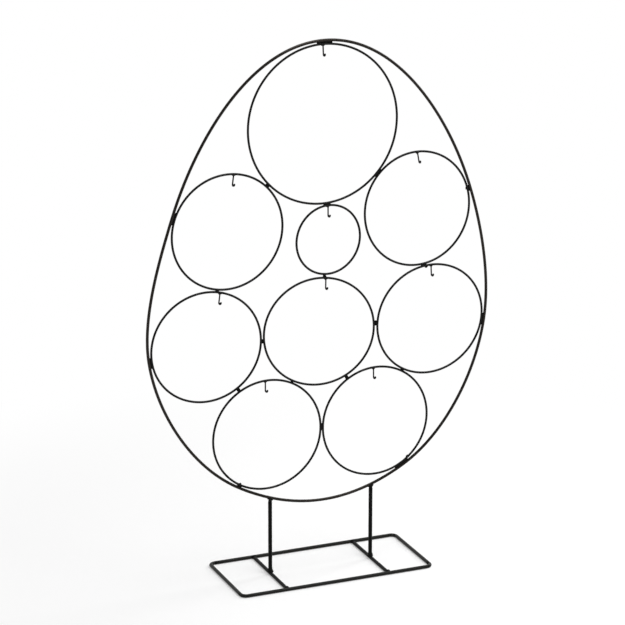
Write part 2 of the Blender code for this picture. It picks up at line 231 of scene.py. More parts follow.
class Coat(Enum):
    """The powder coat on each kind of rod, by the record's material slot."""

    HOOP = "hoop_rod"
    RING = "ring_wire"
    HOOK = "hook_wire"
    WELD = "weld_bead"
    UPRIGHT = "upright_rod"
    BASE = "base_rod"


COATS: dict[Coat, PowderCoat] = {
    Coat.HOOP: PowderCoat(
        "powder_coat_hoop_rod", "#110f0e", "#191613", 0.36, specular=0.25, sheen_colour="#fff2e5"
    ),
    Coat.RING: PowderCoat("powder_coat_ring_wire", "#0d0d0c", "#141412", 0.38),
    Coat.HOOK: PowderCoat("powder_coat_hook_wire", "#0a0a09", "#10100f", 0.46, specular=0.10),
    # Powder gathers over the ripples of a weld, so its skin is thicker, duller and lumpier
    Coat.WELD: PowderCoat(
        "powder_coat_weld",
        "#080807",
        "#0f0f0e",
        0.55,
        peel_mm=1.8,
        peel_depth_mm=0.06,
        specular=0.08,
    ),
    Coat.UPRIGHT: PowderCoat(
        "powder_coat_upright_rod", "#0c0c0b", "#121211", 0.42, specular=0.08
    ),
    # The base loop's coat is a lighter grey-black than the other rods': painted sheen, standing in
    # for the grey reflection along the tops of the rails
    Coat.BASE: PowderCoat("powder_coat_base_rod_painted_sheen", "#1a1a18", "#232320", 0.34, specular=0.12),
}


@cache
def material_of(coat: Coat) -> Material:
    """Build the material of a coat at its first use, and give the same one from then on."""
    return COATS[coat].build()


# Geometry Nodes trees


class NodeTool:
    """A Geometry Nodes tree with named inputs, run on a mesh and baked to a plain mesh."""

    name: str = "tool"
    sockets: dict[str, str] = {}

    def __init__(self) -> None:
        """Build the tree."""
        self.tree = bpy.data.node_groups.new(self.name, "GeometryNodeTree")
        interface = self.tree.interface
        interface.new_socket("Geometry", in_out="INPUT", socket_type="NodeSocketGeometry")
        self.ids: dict[str, str] = {}
        for name, kind in self.sockets.items():
            made = interface.new_socket(name, in_out="INPUT", socket_type="NodeSocket" + kind)
            self.ids[name] = made.identifier
        interface.new_socket("Geometry", in_out="OUTPUT", socket_type="NodeSocketGeometry")
        self.start = add_node(self.tree, "NodeGroupInput")
        self._fill()

    def _fill(self) -> None:
        """Add the tree's nodes."""
        raise NotImplementedError

    def _attribute(self, name: str) -> Node:
        """Read a number that the line's points hold."""
        kind = "GeometryNodeInputNamedAttribute"
        return add_node(self.tree, kind, {"Name": name}, data_type="FLOAT")

    def _rod(self, curve: Node, sides: int | NodeSocket, radius: float | NodeSocket) -> Node:
        """Sweep a round rod along a curve, whose points hold a share of its radius.

        Args:
            curve: The curve.
            sides: Corners of the rod's section.
            radius: The rod's full radius.

        Returns:
            A node whose output is the rod's mesh.
        """
        circle = {"Resolution": sides, "Radius": radius}
        section = add_node(self.tree, "GeometryNodeCurvePrimitiveCircle", circle, mode="RADIUS")
        share = self._attribute("share")
        path = {"Curve": curve, "Profile Curve": section, "Scale": share, "Fill Caps": True}
        return add_node(self.tree, "GeometryNodeCurveToMesh", path)

    def _close(self, geometry: Node) -> None:
        """End the tree: smooth shading, real geometry and the material.

        Args:
            geometry: The node that gives the finished shape.
        """
        smooth = add_node(self.tree, "GeometryNodeSetShadeSmooth", {"Geometry": geometry})
        real = add_node(self.tree, "GeometryNodeRealizeInstances", {"Geometry": smooth})
        coat = {"Geometry": real, "Material": self.start.outputs["Material"]}
        coated = add_node(self.tree, "GeometryNodeSetMaterial", coat)
        add_node(self.tree, "NodeGroupOutput", {"Geometry": coated})

    def attach(self, target: Object, values: dict[str, Any]) -> None:
        """Put the tree on an object, with its inputs set by their identifiers.

        Args:
            target: The object that gets the modifier.
            values: Input name and value.
        """
        modifier = target.modifiers.new(self.name, "NODES")
        modifier.node_group = self.tree
        for name, value in values.items():
            modifier[self.ids[name]] = value


class RodSweep(NodeTool):
    """Sweeps a round rod along a line of edges, with a skin of coat that swells a little.

    The line's points hold a share of the rod's radius, so that a rod can taper or have a
    rounded end.
    """

    name = "rod_sweep"
    sockets = {
        "Radius": "Float",
        "Sides": "Int",
        "Steps": "Int",
        "Swell": "Float",
        "Swell Size": "Float",
        "Seed": "Float",
        "Material": "Material",
    }

    def _fill(self) -> None:
        """Line to smooth curve, curve to rod, then the skin's swell along the normals."""
        tree, start = self.tree, self.start.outputs
        curve = add_node(tree, "GeometryNodeMeshToCurve", {"Mesh": start["Geometry"]})
        spline = add_node(
            tree, "GeometryNodeCurveSplineType", {"Curve": curve}, spline_type="CATMULL_ROM"
        )
        steps = {"Geometry": spline, "Resolution": start["Steps"]}
        fine = add_node(tree, "GeometryNodeSetSplineResolution", steps)
        swept = self._rod(fine, start["Sides"], start["Radius"])

        place = add_node(tree, "GeometryNodeInputPosition")
        pitch = add_node(
            tree, "ShaderNodeMath", {0: 1.0, 1: start["Swell Size"]}, operation="DIVIDE"
        )
        pattern = {"Vector": place, "W": start["Seed"], "Scale": pitch, "Detail": 2.0}
        waves = add_node(tree, "ShaderNodeTexNoise", pattern, noise_dimensions="4D")
        level = add_node(tree, "ShaderNodeMath", {0: waves, 1: 0.5}, operation="SUBTRACT")
        rise = add_node(
            tree, "ShaderNodeMath", {0: level, 1: start["Swell"]}, operation="MULTIPLY"
        )
        normal = add_node(tree, "GeometryNodeInputNormal")
        push = add_node(
            tree, "ShaderNodeVectorMath", {0: normal, "Scale": rise}, operation="SCALE"
        )
        skin = {"Geometry": swept, "Offset": push}
        self._close(add_node(tree, "GeometryNodeSetPosition", skin))


class WeldRun(NodeTool):
    """Lays balls of weld metal on loose points, next to short lengths of the wires.

    Points that hold a ball size above zero get a ball of about that radius. Edges become
    round lengths of wire.
    """

    name = "weld_run"
    sockets = {
        "Least": "Float",
        "Most": "Float",
        "Wander": "Float",
        "Seed": "Int",
        "Material": "Material",
    }
    wire_sides = 20
    ball_divisions = 3

    def _fill(self) -> None:
        """Lengths of wire from the edges, balls on the points, joined."""
        tree, start = self.tree, self.start.outputs
        ball_size = self._attribute("ball")
        curve = add_node(tree, "GeometryNodeMeshToCurve", {"Mesh": start["Geometry"]})
        lengths = self._rod(curve, self.wire_sides, 1.0)

        sizes = {0: ball_size, 1: 0.0}
        is_ball = add_node(tree, "FunctionNodeCompare", sizes, operation="GREATER_THAN")
        loose = {"Mesh": start["Geometry"], "Selection": is_ball}
        points = add_node(tree, "GeometryNodeMeshToPoints", loose)
        reach = {0: (-1.0, -1.0, -1.0), 1: (1.0, 1.0, 1.0), "Seed": start["Seed"]}
        drift = add_node(tree, "FunctionNodeRandomValue", reach, data_type="FLOAT_VECTOR")
        step = add_node(
            tree, "ShaderNodeVectorMath", {0: drift, "Scale": start["Wander"]}, operation="SCALE"
        )
        strewn = add_node(tree, "GeometryNodeSetPosition", {"Geometry": points, "Offset": step})
        sphere = {"Radius": 1.0, "Subdivisions": self.ball_divisions}
        ball = add_node(tree, "GeometryNodeMeshIcoSphere", sphere)
        spread = {2: start["Least"], 3: start["Most"], "Seed": start["Seed"]}
        factor = add_node(tree, "FunctionNodeRandomValue", spread, data_type="FLOAT").outputs[1]
        size = add_node(tree, "ShaderNodeMath", {0: factor, 1: ball_size}, operation="MULTIPLY")
        laid = {"Points": strewn, "Instance": ball, "Scale": size}
        balls = add_node(tree, "GeometryNodeInstanceOnPoints", laid)
        both = add_node(tree, "GeometryNodeJoinGeometry", {0: lengths})
        tree.links.new(balls.outputs[0], both.inputs[0])
        self._close(both)


# Lines and meshes


def in_scene(name: str, data: ID) -> Object:
    """Make an object of a mesh, a lamp or a camera, and put it in the scene.

    Args:
        name: The object's name.
        data: The mesh, lamp or camera.

    Returns:
        The new object.
    """
    made = bpy.data.objects.new(name, data)
    bpy.context.scene.collection.objects.link(made)
    return made


def line_mesh(
    name: str,
    lines: Sequence[Line],
    shares: Sequence[Sequence[float]],
    balls: Sequence[tuple[Vector, float]] = (),
    closed: bool = False,
) -> Object:
    """Make an object of edges, whose points hold how thick the rod is there.

    Args:
        name: The object's name.
        lines: The lines of points that become edges.
        shares: For each line, one thickness value for each point.
        balls: Loose points that get a ball of weld metal, each with its radius.
        closed: Whether each line's end joins its start.

    Returns:
        A new object in the scene.
    """
    places: Line = []
    edges: list[tuple[int, int]] = []
    thick: list[float] = []
    for line, share in zip(lines, shares):
        first = len(places)
        places.extend(line)
        thick.extend(share)
        edges.extend((first + i, first + i + 1) for i in range(len(line) - 1))
        if closed:
            edges.append((first + len(line) - 1, first))
    count = len(places)
    places.extend(place for place, _ in balls)
    mesh = bpy.data.meshes.new(name)
    mesh.from_pydata([tuple(p) for p in places], edges, [])
    sizes = [size for _, size in balls]
    for key, held in (("share", thick + [0.0] * len(balls)), ("ball", [0.0] * count + sizes)):
        mesh.attributes.new(key, "FLOAT", "POINT").data.foreach_set("value", held)
    return in_scene(name, mesh)


def baked(target: Object) -> Mesh:
    """Turn an object with its modifiers into a plain mesh, and remove the object.

    Args:
        target: The object to bake.

    Returns:
        The finished mesh.
    """
    bpy.context.view_layer.update()
    evaluated = target.evaluated_get(bpy.context.evaluated_depsgraph_get())
    mesh = bpy.data.meshes.new_from_object(evaluated)
    for name in ("share", "ball"):
        if name in mesh.attributes:
            mesh.attributes.remove(mesh.attributes[name])
    bpy.data.objects.remove(target, do_unlink=True)
    return mesh


def joined(meshes: Sequence[Mesh]) -> Mesh:
    """Put several meshes of one material into one mesh.

    Args:
        meshes: The meshes to join.

    Returns:
        The first mesh, now holding all of them.
    """
    form = bmesh.new()
    for mesh in meshes:
        form.from_mesh(mesh)
    form.to_mesh(meshes[0])
    form.free()
    meshes[0].shade_smooth()
    return meshes[0]


def loop_stations(node: str) -> Line:
    """Find the middles of a looped CAD rod, in order round the loop in the hoop's plane.

    The rod's corners stand in rings, one at each station of its line, so that round the
    loop their directions come in tight groups.

    Args:
        node: The node's name.

    Returns:
        The middle of each ring of corners.
    """
    mesh = frame["nodes"][node].data
    flat = np.zeros(len(mesh.vertices) * 3)
    mesh.vertices.foreach_get("co", flat)
    corners = np.unique(np.round(flat.reshape(-1, 3), 6), axis=0)
    middle = (corners.min(0) + corners.max(0)) / 2
    turns = np.arctan2(corners[:, 2] - middle[2], corners[:, 0] - middle[0])
    order = np.argsort(turns)
    corners, turns = corners[order], turns[order]
    gaps = np.diff(np.append(turns, turns[0] + 2 * math.pi))
    breaks = np.flatnonzero(gaps > GROUP_GAP)
    groups = np.split(np.roll(corners, -breaks[0] - 1, axis=0), breaks[1:] - breaks[0])
    return [Vector((g.min(0) + g.max(0)) / 2) for g in groups if len(g)]


def smoothed(stations: Line, steps: int) -> Line:
    """Draw a smooth closed line through the stations of a faceted rod.

    Args:
        stations: Points that the line passes.
        steps: Steps from one point to the next.

    Returns:
        Points of the smooth line.
    """
    line: Line = []
    count = len(stations)
    for index in range(count):
        before, here, there, after = (stations[(index + i) % count] for i in (-1, 0, 1, 2))
        handle_here = here + (there - before) / 6
        handle_there = there - (after - here) / 6
        line.extend(interpolate_bezier(here, handle_here, handle_there, there, steps + 1)[:-1])
    return line


def straight(start: Vector, end: Vector, steps: int) -> Line:
    """Give points along a straight line, with both its ends."""
    return [start.lerp(end, index / steps) for index in range(steps + 1)]


def ring_of(
    centre: Vector, side: Vector, top: Vector, start: float, end: float, count: int
) -> Line:
    """Give places round a centre.

    Args:
        centre: The middle.
        side: From the centre to the place at 0 degrees.
        top: From the centre to the place at 90 degrees.
        start: Angle of the first place, in degrees.
        end: Angle of the last place, in degrees.
        count: How many places.

    Returns:
        The places, the first and the last one included.
    """
    places: Line = []
    for index in range(count):
        angle = math.radians(start + (end - start) * index / (count - 1))
        places.append(centre + side * math.cos(angle) + top * math.sin(angle))
    return places


@dataclass
class Hit:
    """Where a wire passes nearest to a place."""

    distance: float
    point: Vector
    heading: Vector
    wire: "Wire"


@dataclass
class Wire:
    """A looped wire of the rack: points of its middle, close together, and its radius."""

    line: Line
    radius: float

    def __post_init__(self) -> None:
        """Keep the steps between the points as arrays."""
        self._starts = np.array(self.line)
        self._steps = np.roll(self._starts, -1, axis=0) - self._starts

    def nearest(self, place: Vector) -> Hit:
        """Find where the wire passes nearest to a place.

        Args:
            place: Where to look.

        Returns:
            The nearest point of the wire's middle, and the wire's heading there.
        """
        offsets = np.array(place) - self._starts
        shares = (offsets * self._steps).sum(1) / (self._steps**2).sum(1)
        points = self._starts + self._steps * np.clip(shares, 0.0, 1.0)[:, None]
        distances = np.linalg.norm(np.array(place) - points, axis=1)
        index = int(distances.argmin())
        heading = Vector(self._steps[index]).normalized()
        return Hit(float(distances[index]), Vector(points[index]), heading, self)

    def length_about(self, place: Vector, reach: float) -> Line:
        """Take the length of the wire that lies within reach of a place.

        Args:
            place: A place on or near the wire.
            reach: How far along the wire to go each way.

        Returns:
            Points of the wire's middle.
        """
        hit = self.nearest(place)
        span = hit.heading * reach
        guesses = straight(hit.point - span, hit.point + span, LENGTH_STEPS)
        return [self.nearest(guess).point for guess in guesses]


class Workshop:
    """Makes finished pieces: sweeps, welds, coats and their places in the frame."""

    def __init__(self) -> None:
        """Build the node trees."""
        self.rod_sweep = RodSweep()
        self.weld_run = WeldRun()
        self.wires: dict[str, Wire] = {}

    def sweep(
        self,
        line: Line,
        diameter: float,
        coat: Coat,
        closed: bool = False,
        shares: Sequence[float] | None = None,
        steps: int = 2,
        sides: int = 20,
        seed: int = 1,
    ) -> Mesh:
        """Sweep a coated rod along a line.

        Args:
            line: Points of the rod's middle.
            diameter: The rod's diameter.
            coat: Its powder coat.
            closed: Whether the rod is a loop.
            shares: Share of the full radius at each point.
            steps: Smooth steps from one point to the next.
            sides: Corners of the rod's section.
            seed: Where the coat's swell starts.

        Returns:
            The rod's mesh.
        """
        target = line_mesh("sweep", [line], [shares or [1.0] * len(line)], closed=closed)
        values = {
            "Radius": diameter / 2 + COAT_THICKNESS,
            "Sides": sides,
            "Steps": steps,
            "Swell": COAT_SWELL,
            "Swell Size": COAT_SWELL_SIZE,
            "Seed": float(seed),
            "Material": material_of(coat),
        }
        self.rod_sweep.attach(target, values)
        return baked(target)

    def weld(
        self,
        lengths: Sequence[tuple[Line, float]],
        balls: Sequence[tuple[Vector, float]],
        coat: Coat,
        seed: int,
        grain: float = MELT_GRAIN,
    ) -> Mesh:
        """Melt balls of weld metal and short lengths of the wires into one filleted bead.

        Args:
            lengths: Lengths of the wires, each with the wire's radius.
            balls: Where the balls of metal go, each with its radius.
            coat: The powder coat over them.
            seed: Where the balls' random sizes start.
            grain: Grain of the melt.

        Returns:
            The weld's mesh.
        """
        shares = [[radius - MELT_TRIM] * len(line) for line, radius in lengths]
        target = line_mesh("weld", [line for line, _ in lengths], shares, balls)
        values = {
            "Least": 1.0 - BALL_SPREAD,
            "Most": 1.0 + BALL_SPREAD,
            "Wander": BALL_WANDER,
            "Seed": seed,
            "Material": material_of(coat),
        }
        self.weld_run.attach(target, values)
        melt = target.modifiers.new("melt", "REMESH")
        melt.mode = "VOXEL"
        melt.voxel_size = grain
        melt.use_smooth_shade = True
        soft = target.modifiers.new("soften", "SMOOTH")
        soft.factor = MELT_SMOOTHING
        soft.iterations = MELT_ROUNDS
        mesh = baked(target)
        mesh.materials.clear()
        mesh.materials.append(material_of(coat))
        mesh.shade_smooth()
        return mesh

    def finish(self, name: str, mesh: Mesh, coat: Coat, *nodes: str) -> None:
        """Place a finished mesh in the frame, in the stead of its CAD nodes.

        Args:
            name: The piece's name.
            mesh: Its mesh, already in place.
            coat: The coat; not used.
            nodes: The CAD nodes that it stands for.
        """
        piece = in_scene(name, mesh)
        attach(piece, BODY)
        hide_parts(*nodes)
        LOG.info("%s: %d faces", name, len(mesh.polygons))

    def nearest_two(self, place: Vector) -> tuple[Hit, Hit]:
        """Find the two wires that pass nearest to a place.

        Args:
            place: Where to look.

        Returns:
            Where each passes it, the nearest first.
        """
        hits = [wire.nearest(place) for wire in self.wires.values()]
        hits.sort(key=lambda hit: hit.distance)
        return hits[0], hits[1]


# Sub-assemblies


@dataclass
class Hoop:
    """The egg-shaped hoop of round rod that holds the rings."""

    shop: Workshop
    rod: float = 4.0 * MM
    steps: int = 6
    sides: int = 24
    seed: int = 3

    def build(self) -> None:
        """Sweep the hoop along its CAD line."""
        line = smoothed(loop_stations("egg_hoop"), self.steps)
        self.shop.wires["egg_hoop"] = Wire(line, self.rod / 2)
        mesh = self.shop.sweep(
            line, self.rod, Coat.HOOP, closed=True, sides=self.sides, seed=self.seed
        )
        self.shop.finish("hoop_rod", mesh, Coat.HOOP, "egg_hoop")


@dataclass
class Rings:
    """The nine rings of thinner wire."""

    shop: Workshop
    wire: float = 3.0 * MM
    steps: int = 4
    first_seed: int = 11
    names: tuple[str, ...] = (
        "top",
        "upper_left",
        "upper_right",
        "small_centre",
        "middle_left",
        "middle_centre",
        "middle_right",
        "bottom_left",
        "bottom_right",
    )

    def build(self) -> None:
        """Sweep each ring along its CAD line."""
        for seed, name in enumerate(self.names, self.first_seed):
            node = "ring_" + name
            line = smoothed(loop_stations(node), self.steps)
            self.shop.wires[node] = Wire(line, self.wire / 2)
            mesh = self.shop.sweep(line, self.wire, Coat.RING, closed=True, seed=seed)
            self.shop.finish("ring_wire_" + name, mesh, Coat.RING, node)


@dataclass(frozen=True)
class HookSet:
    """How one ring's hook is welded on by hand, in degrees.

    The place is to the right of the ring's top, the lean is of its foot to the right, and
    the twist is to the right from facing the viewer.
    """

    ring: str
    place: float
    lean: float
    twist: float


@dataclass
class Hooks:
    """The J hooks, one under the top of each ring, and the welds that hold them."""

    shop: Workshop
    wire: float = 1.8 * MM
    drop: float = 16.4 * MM
    bend_radius: float = 2.3 * MM
    bend_swell: float = 1.38
    tip_rise: float = 0.8 * MM
    tip_share: float = 0.12
    wire_steps: int = 4
    shank_steps: int = 4
    bend_steps: int = 10
    nose_steps: int = 4
    ring_reach: float = 4.8 * MM
    shank_reach: float = 8.5 * MM
    # A search for the ring's top climbs this far each round
    seat_climb: float = 20.0 * MM
    seat_rounds: int = 30
    wire_seed: int = 31
    bead_seed: int = 51
    sets: tuple[HookSet, ...] = (
        HookSet("top", -0.6, 2.5, 6.0),
        HookSet("upper_left", 6.8, -7.5, 12.0),
        HookSet("upper_right", 0.7, 10.5, 2.0),
        HookSet("small_centre", -1.6, 0.5, 12.0),
        HookSet("middle_left", 15.0, -7.5, 16.0),
        HookSet("middle_centre", 9.0, -1.0, 10.0),
        HookSet("middle_right", -0.7, 2.5, 12.0),
        HookSet("bottom_left", -1.2, 0.0, 18.0),
        HookSet("bottom_right", -2.5, 1.0, 10.0),
    )
    # Balls of the weld under a ring, in mm: along the ring, down from its underside, radius
    bead: tuple[tuple[float, float, float], ...] = (
        (-2.1, -0.2, 1.0),
        (-1.0, 0.3, 1.2),
        (0.0, 1.0, 1.25),
        (1.0, 0.3, 1.2),
        (2.1, -0.2, 1.0),
    )

    def build(self) -> None:
        """Build each ring's hook."""
        for index, hung in enumerate(self.sets):
            node = "hook_" + hung.ring
            ring = self.shop.wires["ring_" + hung.ring]
            seat, outward = self._seat(ring, hung)
            line, shares = self._path(seat, hung)
            wire = self.shop.sweep(
                line,
                self.wire,
                Coat.HOOK,
                shares=shares,
                steps=self.wire_steps,
                seed=self.wire_seed + index,
            )
            bead = self._bead(ring, line, outward, self.bead_seed + index)
            self.shop.finish(node + "_wire", joined([wire, bead]), Coat.HOOK, node)

    def _seat(self, ring: Wire, hung: HookSet) -> tuple[Vector, Vector]:
        """Find where a hook meets its ring.

        Args:
            ring: The ring's wire.
            hung: How the hook is welded on.

        Returns:
            The middle of the ring's wire there, and the direction out of the ring.
        """
        outward = Matrix.Rotation(math.radians(hung.place), 3, "Y") @ Z_AXIS
        places = np.array(ring.line)
        centre = Vector((places.min(0) + places.max(0)) / 2)
        seat = ring.nearest(centre + outward).point
        for _ in range(self.seat_rounds):
            seat = ring.nearest(seat + outward * self.seat_climb).point
        return seat, outward

    def _path(self, seat: Vector, hung: HookSet) -> tuple[Line, list[float]]:
        """Lay out a hook's wire: a straight shank, the bend, and a short rise to the tip.

        Args:
            seat: Where the shank starts.
            hung: How the hook is welded on.

        Returns:
            Points of the wire's middle, and the share of its radius at each.
        """
        ahead = Matrix.Rotation(math.radians(hung.twist), 3, "Z") @ -Y_AXIS
        shank_end = -Z_AXIS * (self.drop - self.bend_radius)
        line = straight(Vector(), shank_end, self.shank_steps)[:-1]
        centre = shank_end + ahead * self.bend_radius
        line += ring_of(
            centre, -ahead * self.bend_radius, -Z_AXIS * self.bend_radius, 0, 180, self.bend_steps
        )
        # The coat gathers in the tight bend, fully from a third of the way round
        shares = [1.0] * self.shank_steps + [
            1.0 + (self.bend_swell - 1.0) * min(1.0, 3 * index / (self.bend_steps - 1))
            for index in range(self.bend_steps)
        ]
        # The tip is cut square and its edge is rounded by the coat
        end = line[-1] + Z_AXIS * self.tip_rise
        nose = self.wire / 2 * self.bend_swell
        for index in range(self.nose_steps + 1):
            angle = math.pi / 2 * index / self.nose_steps
            line.append(end + Z_AXIS * nose * (math.sin(angle) - 1))
            shares.append(self.bend_swell * max(self.tip_share, math.cos(angle)))
        swing = Matrix.Rotation(math.radians(-hung.lean), 3, "Y")
        return [seat + swing @ point for point in line], shares

    def _bead(self, ring: Wire, line: Line, outward: Vector, seed: int) -> Mesh:
        """Lay the weld that holds a hook under its ring.

        Args:
            ring: The ring's wire.
            line: Points of the hook's wire, from the ring.
            outward: The direction out of the ring.
            seed: Start of its random values.

        Returns:
            The bead's mesh.
        """
        seat = line[0]
        along = outward.cross(Y_AXIS)
        shank = (line[1] - seat).normalized()
        under = seat - outward * ring.radius
        balls = [(under + (along * x - outward * z) * MM, r * MM) for x, z, r in self.bead]
        lengths = [
            (ring.length_about(seat, self.ring_reach), ring.radius),
            (straight(seat, seat + shank * self.shank_reach, self.shank_steps), self.wire / 2),
        ]
        return self.shop.weld(lengths, balls, Coat.HOOK, seed)


@dataclass(frozen=True)
class Run:
    """How one weld was laid, in millimetres.

    The shift is along the wires, to the right or up, and the fat is how much the run's middle
    bulges over the gap. Each drip is a ball of metal beside the run: how far right of its
    middle, up from it, towards the viewer, and its radius.
    """

    joint: str
    length: float
    shift: float = 0.0
    fat: float = 0.12
    drips: tuple[tuple[float, float, float, float], ...] = ()


@dataclass
class Welds:
    """The weld beads between neighbouring rings, and between the rings and the hoop."""

    shop: Workshop
    ball_step: float = 1.0 * MM
    melt_reach: float = 3.5 * MM
    # Metal that runs out along each wire past the ends: distance past, radius, in mm
    run_out: tuple[tuple[float, float], ...] = ((0.5, 0.55), (1.1, 0.42), (1.7, 0.30))
    depth: float = 0.35 * MM
    back_share: float = 0.9
    least_steps: int = 3
    first_seed: int = 71
    runs: tuple[Run, ...] = (
        Run("top_hoop", 22.0, shift=6.5),
        Run("upper_left_hoop", 17.0, shift=1.7),
        Run(
            "upper_right_hoop",
            7.0,
            shift=-6.0,
            fat=0.4,
            drips=((-4.4, 1.8, -0.2, 1.4), (-4.0, -0.6, 0.3, 1.4)),
        ),
        Run("middle_left_hoop", 15.0, shift=-1.3),
        Run("middle_right_hoop", 17.0),
        Run(
            "bottom_left_hoop",
            6.0,
            shift=-2.0,
            fat=0.6,
            drips=((1.9, 3.2, -0.2, 1.6), (-0.2, 3.4, 0.3, 1.4)),
        ),
        Run(
            "bottom_right_hoop",
            23.0,
            shift=2.0,
            drips=((8.2, 10.4, 0.0, 1.3), (9.6, 11.6, 0.2, 1.4)),
        ),
        Run("top_upper_left", 5.0, shift=1.9),
        Run("top_upper_right", 12.0),
        Run("top_small_centre", 10.0),
        Run(
            "small_centre_middle_centre",
            2.0,
            fat=0.3,
            drips=(
                (-2.6, -1.3, 0.0, 0.9),
                (-1.4, -0.5, 0.0, 0.9),
                (1.4, -0.5, 0.0, 0.9),
                (2.6, -1.3, 0.0, 0.9),
            ),
        ),
        Run("upper_left_middle_left", 3.0, fat=0.4),
        Run(
            "upper_right_middle_right",
            7.0,
            fat=0.2,
            drips=((2.4, -3.8, 0.4, 1.2), (4.0, -3.8, 0.4, 1.3), (5.2, -3.2, 0.3, 1.1)),
        ),
        Run("middle_left_middle_centre", 4.5, shift=-4.7, fat=0.2),
        Run("middle_centre_middle_right", 5.0, shift=5.2),
        Run("middle_left_bottom_left", 1.6, shift=2.4),
        Run("middle_centre_bottom_left", 2.4, shift=-2.4, fat=0.2),
        Run("middle_centre_bottom_right", 1.6, shift=-4.9),
        Run("middle_right_bottom_right", 4.0),
        Run("bottom_left_bottom_right", 9.0, shift=1.3),
    )

    def build(self) -> None:
        """Lay each weld where its CAD node is."""
        for seed, run in enumerate(self.runs, self.first_seed):
            node = "weld_" + run.joint
            mesh = self._bead(node, run, seed)
            self.shop.finish("weld_bead_" + run.joint, mesh, Coat.WELD, node)

    def _bead(self, node: str, run: Run, seed: int) -> Mesh:
        """Lay one bead between the two wires that pass its CAD node.

        Args:
            node: The weld's node.
            run: How it was laid.
            seed: Start of its random values.

        Returns:
            The bead's mesh.
        """
        low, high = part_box(node)
        hits = self.shop.nearest_two((low + high) / 2)
        pair = [hit.wire for hit in hits]
        across = (hits[1].point - hits[0].point).normalized()
        along = across.cross(Y_AXIS)
        if along.x + along.z < 0.0:
            along = -along
        near, far = self._gap(pair, (low + high) / 2 + along * run.shift * MM)
        middle = (near + far) / 2
        half = run.length * MM / 2
        balls: list[tuple[Vector, float]] = []
        count = max(self.least_steps, round(2 * half / self.ball_step))
        for index in range(count + 1):
            share = 2 * index / count - 1
            guess = middle + along * half * share
            near, far = self._gap(pair, guess)
            size = (far - near).length / 2 + run.fat * MM * (1 - share**2)
            side = Y_AXIS * self.depth * (1 if index % 2 else -1)
            balls.append(((near + far) / 2 + side, size))
            balls.append(((near + far) / 2 - side, size * self.back_share))
        for past, radius in self.run_out:
            for end in (-1, 1):
                sides = self._gap(pair, middle + along * end * (half + past * MM))
                balls.extend((side, radius * MM) for side in sides)
        for right, up, ahead, radius in run.drips:
            offset = Vector((right, -ahead, up)) * MM
            balls.append((middle + offset, radius * MM))
        reach = half + self.melt_reach
        lengths = [(wire.length_about(middle, reach), wire.radius) for wire in pair]
        return self.shop.weld(lengths, balls, Coat.WELD, seed)

    def _gap(self, pair: Sequence[Wire], place: Vector) -> tuple[Vector, Vector]:
        """Find the sides with which two wires face each other near a place.

        Args:
            pair: The two wires.
            place: Where to look.

        Returns:
            The first wire's side and the second one's.
        """
        first, second = (wire.nearest(place) for wire in pair)
        ahead = (second.point - first.point).normalized()
        near = first.point + ahead * first.wire.radius
        far = second.point - ahead * second.wire.radius
        return near, far


